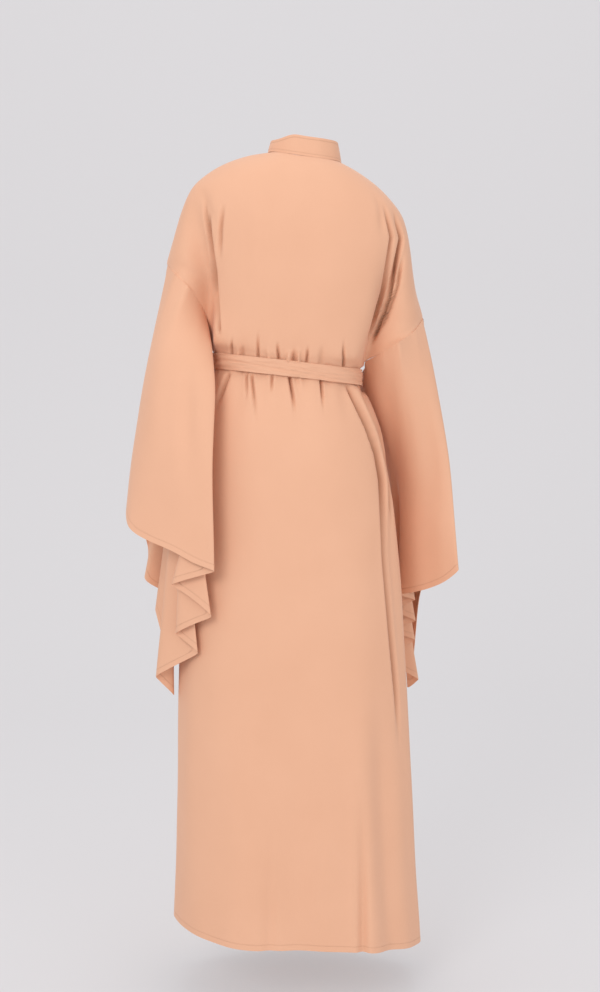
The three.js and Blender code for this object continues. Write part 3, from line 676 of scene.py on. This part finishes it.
# The fronts
# Two full-length panels that overlap down the middle, each with a turned and topstitched front
# edge and hem. They are creased by the belt as the back is.
FRONT_CREASES = creases_in(
    [
        (5, -4.1, 0.6, 0.1, [(-128, -335), (-124, -354), (-122, -374)]),
        (4, -3.7, 0.6, 0.1, [(-88, -340), (-85, -357), (-84, -374)]),
        (4, 4.1, 0.6, 0.2, [(-52, -348), (-48, -362), (-46, -376)]),
        (4, -4.1, 0.6, 0.1, [(88, -332), (85, -352), (84, -372)]),
        (5, -3.7, 0.6, 0.1, [(126, -340), (124, -372)]),
        (4, 4.1, 0.6, 0.2, [(64, -350), (58, -374)]),
        (5, -4.4, 0.1, 0.7, [(-60, -408), (-63, -454), (-72, -500)]),
        (6, -5.1, 0.1, 0.5, [(-100, -410), (-109, -486), (-130, -560)]),
        (5, -4.4, 0.1, 0.6, [(92, -408), (98, -465), (112, -520)]),
        (7, -5.1, 0.1, 0.5, [(132, -406), (142, -464), (160, -520)]),
        (7, -5.1, 0.3, 0.2, [(-142, -130), (-119, -229), (-112, -330)]),
        (7, -5.1, 0.3, 0.2, [(186, -130), (164, -229), (158, -330)]),
        (18, -6.8, 0.7, 0.02, [(-60, -1000), (-58, -1230), (-64, -1460)]),
        (16, -6.8, 0.7, 0.02, [(96, -1050), (104, -1255), (104, -1460)]),
    ]
)
front_left = skin_of("front_left", PANEL_ROWS, tall_from=LONG_CELLS_FROM, tall_cuts=1, wide_cuts=1)
front_right = skin_of("front_right", PANEL_ROWS, tall_from=LONG_CELLS_FROM, tall_cuts=1, wide_cuts=1)
for front, seed in ((front_left, 11), (front_right, 19)):
    slacken(front, **PANEL_SLACK, seed=seed)
    press(front, FRONT_CREASES, facing=-1)
mark_edges(front_left, lambda down, across: down > LAST or across < FIRST)
mark_edges(front_right, lambda down, across: down > LAST or across > LAST)
front_left_armhole = edge_points(front_left, 1, *LEFT_ARMHOLE)
front_right_armhole = edge_points(front_right, 0, *RIGHT_ARMHOLE)
sink_seam(front_left, front_left_armhole)
sink_seam(front_right, front_right_armhole)
finish_cloth(front_left, "front_left", DRESS_CREPE)
finish_cloth(front_right, "front_right", DRESS_CREPE)

# The sleeves
# Wide flared sleeves sewn to the dropped shoulders. Each hangs from the arm and falls under it in
# a cascade, with a narrow topstitched hem all round.
SLEEVE_ROWS = 12
SLEEVE_WALL = 1.2 * MM
SLEEVE_SLACK = {"height": 1.2 * MM, "size": 50 * MM}
SEAM_PULL = 0.9
SEAM_REACH = 30 * MM
LEFT_SLEEVE_CREASES = creases_in(
    [
        (24, 4.2, 0.5, 0.5, [(246, -250), (264, -435), (262, -620)]),
        (16, -4.2, 0.4, 0.5, [(205, -330), (206, -485), (200, -640)]),
    ]
)
RIGHT_SLEEVE_CREASES = creases_in(
    [
        (26, 4.2, 0.5, 0.5, [(-170, -350), (-200, -524), (-215, -700)]),
        (18, -3.4, 0.5, 0.5, [(-205, -380), (-233, -539), (-250, -700)]),
    ]
)


def sew(sleeve, seam):
    """Brings a sleeve's upper edge to the armhole's edge, and eases the cloth beside it."""
    points = points_of(sleeve)
    top = np.flatnonzero(mark(sleeve, "down") < SAME_SHARE)
    edge = kdtree.KDTree(len(seam))
    for i, place in enumerate(seam):
        edge.insert(Vector(place), i)
    edge.balance()
    moves = []
    for i in top:
        here = Vector(points[i])
        (a, _, _), (b, _, _) = edge.find_n(here, 2)
        run = b - a
        t = min(max((here - a).dot(run) / max(run.length_squared, 1e-12), 0), 1)
        target = a + run * t
        moves.append((target - here) * SEAM_PULL)
    ring = kdtree.KDTree(len(top))
    for n, i in enumerate(top):
        ring.insert(Vector(points[i]), n)
    ring.balance()
    moved = points.copy()
    for i, place in enumerate(points):
        _, n, gap = ring.find(Vector(place))
        if gap < SEAM_REACH:
            moved[i] += np.array(moves[n]) * (1 - gap / SEAM_REACH) ** 2
    move_points(sleeve, moved)


left_seam = np.vstack([back_left_armhole, front_left_armhole])
right_seam = np.vstack([back_right_armhole, front_right_armhole])
sleeve_left = skin_of("sleeve_left", SLEEVE_ROWS, SLEEVE_WALL, closed=True, tall_from=0, tall_cuts=1)
sleeve_right = skin_of("sleeve_right", SLEEVE_ROWS, SLEEVE_WALL, closed=True, tall_from=0, tall_cuts=1)
for sleeve, node, seam, creases, seed in (
    (sleeve_left, "sleeve_left", left_seam, LEFT_SLEEVE_CREASES, 29),
    (sleeve_right, "sleeve_right", right_seam, RIGHT_SLEEVE_CREASES, 37),
):
    slacken(sleeve, **SLEEVE_SLACK, seed=seed)
    press(sleeve, creases, facing=1)
    sew(sleeve, seam)
    mark_edges(sleeve, lambda down, across: down > LAST)
    sink_seam(sleeve, seam)
    finish_cloth(sleeve, node, DRESS_CREPE)

# The collar
# A stand collar of two layers of the crepe over interfacing, topstitched near its edges.
COLLAR_ROWS = 3
COLLAR_THICKNESS = 1.5 * MM
COLLAR_CREPE = crepe("collar_crepe", PEACH_LIGHT, PEACH_DARK, turning=5 * MM)
collar = skin_of("collar", COLLAR_ROWS, rounding=3)
slacken(collar, height=0.8 * MM, size=30 * MM, seed=43)
mark_edges(collar, lambda down, across: True)
finish_cloth(collar, "collar", COLLAR_CREPE, thickness=COLLAR_THICKNESS)

# The belt
# A tie belt of the crepe, folded lengthwise, once round the waist. It is drawn tight, so that it
# wrinkles along its length.
BELT_ROWS = 3
BELT_WALL = 2 * MM
BELT_THICKNESS = 1.6 * MM
BELT_LEAN = 0.16
WRINKLE_HEIGHT = 2.6 * MM
WRINKLES_PER_METRE = Vector((9, 9, 130))
BELT_LIGHT = (0.81, 0.452, 0.296)
BELT_CREPE = crepe("belt_crepe", BELT_LIGHT, PEACH_DARK, turning=3 * MM)
belt = skin_of("belt", BELT_ROWS, wall=BELT_WALL, closed=True, rounding=3)


def mark_plain(piece):
    """Marks a piece as far from any topstitching."""
    write_mark(piece, "from_edge", np.ones(len(piece.data.vertices)))
    write_mark(piece, "along_edge", np.zeros(len(piece.data.vertices)))


def wrinkle_along(piece, height, seed):
    """Long low wrinkles that follow a belt."""
    points = points_of(piece)
    normals = normals_of(piece)
    drift = []
    for x, y, z in points:
        level = z - BELT_LEAN * (x - BODY_MIDDLE.x)
        place = Vector((x, y, level)) * WRINKLES_PER_METRE + Vector((seed, 0, 0))
        drift.append((1 - abs(2 * noise.noise(place))) ** 2)
    move_points(piece, points + normals * (np.array(drift) * height)[:, None])


wrinkle_along(belt, WRINKLE_HEIGHT, seed=5)
mark_plain(belt)
finish_cloth(belt, "belt", BELT_CREPE, thickness=BELT_THICKNESS)

# The knot and the belt's ends
# The belt is tied once at the centre front. Its two ends hang from under the knot over the fronts.
PLEATS = 11
PLEAT_LEAN = 0.35
PLEAT_BEND = 2.2
PLEAT_HEIGHT = 0.045
PINCH = {"depth": 0.16, "lean": 0.2, "width": 0.28}
TAIL_ROWS = 8
TAIL_SLACK = {"height": 1.2 * MM, "size": 30 * MM}
TAIL_THICKNESS = 1.3 * MM
knot = bpy.data.objects.new("belt_knot_cloth", bpy.data.meshes.new("belt_knot"))
bpy.context.collection.objects.link(knot)
low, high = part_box("belt_knot")
middle = (Vector(low) + Vector(high)) / 2
half = (Vector(high) - Vector(low)) / 2
wrap = bmesh.new()
bmesh.ops.create_uvsphere(wrap, u_segments=96, v_segments=48, radius=1)
for v in wrap.verts:
    x, y, z = v.co
    pleat = math.sin(PLEATS * (z + PLEAT_LEAN * x) + PLEAT_BEND * x * x) * (1 - abs(x) ** 3)
    swell = 1 + PLEAT_HEIGHT * pleat
    waist = 1 - PINCH["depth"] * math.exp(-(((x - PINCH["lean"] * z) / PINCH["width"]) ** 2))
    v.co = Vector((x, y * swell * waist, z * swell * waist))
bmesh.ops.scale(wrap, vec=half, verts=wrap.verts)
bmesh.ops.translate(wrap, vec=middle, verts=wrap.verts)
wrap.to_mesh(knot.data)
mark_plain(knot)
knot.data.shade_smooth()
knot.data.materials.append(BELT_CREPE)
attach(knot, "root")
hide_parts("belt_knot")

for node, seed in (("belt_tail_left", 51), ("belt_tail_right", 57)):
    tail = skin_of(node, TAIL_ROWS, rounding=3)
    slacken(tail, **TAIL_SLACK, seed=seed)
    mark_plain(tail)
    finish_cloth(tail, node, BELT_CREPE, thickness=TAIL_THICKNESS)

# Floor, light and camera
# A plain pale studio: a faintly glowing floor that curves up behind the dress, a soft key light
# and a soft fill beside the camera, and a broad light from above.
FLOOR = -1.54
STUDIO_TONE = (0.4, 0.393, 0.4)
STUDIO_GLOW = 0.34
GLOW_COLOUR = (1.0, 0.98, 1.0)
PAPER_ROUGHNESS = 0.9
AIR_COLOUR = (1.0, 0.99, 1.0)
AIR_STRENGTH = 0.7
FLOOR_FRONT = 9.0
FLOOR_BACK = -2.2
SWEEP_BEND = 1.6
SWEEP_STEPS = 12
SWEEP_TOP = 7.0
SWEEP_HALF_WIDTH = 9
sweep = bmesh.new()
profile = [(FLOOR_FRONT, FLOOR), (FLOOR_BACK, FLOOR)]
for i in range(1, SWEEP_STEPS + 1):
    turn = math.pi / 2 * i / SWEEP_STEPS
    rise = FLOOR + SWEEP_BEND - SWEEP_BEND * math.cos(turn)
    profile.append((FLOOR_BACK - SWEEP_BEND * math.sin(turn), rise))
profile.append((FLOOR_BACK - SWEEP_BEND, SWEEP_TOP))
line = [sweep.verts.new((-SWEEP_HALF_WIDTH, y, z)) for y, z in profile]
edges = [sweep.edges.new(pair) for pair in zip(line, line[1:])]
moved = bmesh.ops.extrude_edge_only(sweep, edges=edges)["geom"]
moved = [v for v in moved if isinstance(v, bmesh.types.BMVert)]
bmesh.ops.translate(sweep, vec=(2 * SWEEP_HALF_WIDTH, 0, 0), verts=moved)
bmesh.ops.recalc_face_normals(sweep, faces=sweep.faces)
floor = bpy.data.objects.new("floor", bpy.data.meshes.new("floor"))
sweep.to_mesh(floor.data)
floor.data.shade_smooth()
bpy.context.collection.objects.link(floor)
paper = bpy.data.materials.new("studio_paper")
paper.use_nodes = True
paper_shader = paper.node_tree.nodes["Principled BSDF"]
paper_shader.inputs["Base Color"].default_value = (*STUDIO_TONE, 1)
paper_shader.inputs["Roughness"].default_value = PAPER_ROUGHNESS
paper_shader.inputs["Emission Color"].default_value = (*GLOW_COLOUR, 1)
paper_shader.inputs["Emission Strength"].default_value = STUDIO_GLOW
floor.data.materials.append(paper)

LIGHTS = [
    {"name": "key", "place": (1.7, 3.8, 1.2), "aim": (0, 0, -0.7), "size": 2.2, "power": 62},
    {"name": "fill", "place": (-2.4, 3.2, -0.5), "aim": (0, 0, -0.8), "size": 2.6, "power": 20},
    {"name": "top", "place": (0, -0.4, 4.4), "aim": (0, -0.6, -1.5), "size": 3.4, "power": 52},
]
for lamp in LIGHTS:
    light = bpy.data.lights.new(lamp["name"], "AREA")
    light.shape = "DISK"
    light.size = lamp["size"]
    light.energy = lamp["power"]
    place = bpy.data.objects.new(lamp["name"], light)
    place.location = lamp["place"]
    aim = Vector(lamp["aim"]) - Vector(lamp["place"])
    place.rotation_euler = aim.to_track_quat("-Z", "Y").to_euler()
    bpy.context.collection.objects.link(place)

air = bpy.data.worlds.new("studio_air")
air.use_nodes = True
air.node_tree.nodes["Background"].inputs["Color"].default_value = (*AIR_COLOUR, 1)
air.node_tree.nodes["Background"].inputs["Strength"].default_value = AIR_STRENGTH
bpy.context.scene.world = air
bpy.context.scene.view_settings.view_transform = "Standard"

FOCAL_LENGTH = 51.12
SENSOR_WIDTH = 36
EYE = Vector((0.009, 2.6, -0.448))
LOOKED_AT = Vector((0.009, 0.0, -0.622))
lens = bpy.data.cameras.new("camera")
lens.lens = FOCAL_LENGTH
lens.sensor_width = SENSOR_WIDTH
camera = bpy.data.objects.new("camera", lens)
camera.location = EYE
camera.rotation_euler = (LOOKED_AT - EYE).to_track_quat("-Z", "Y").to_euler()
bpy.context.collection.objects.link(camera)
bpy.context.scene.camera = camera
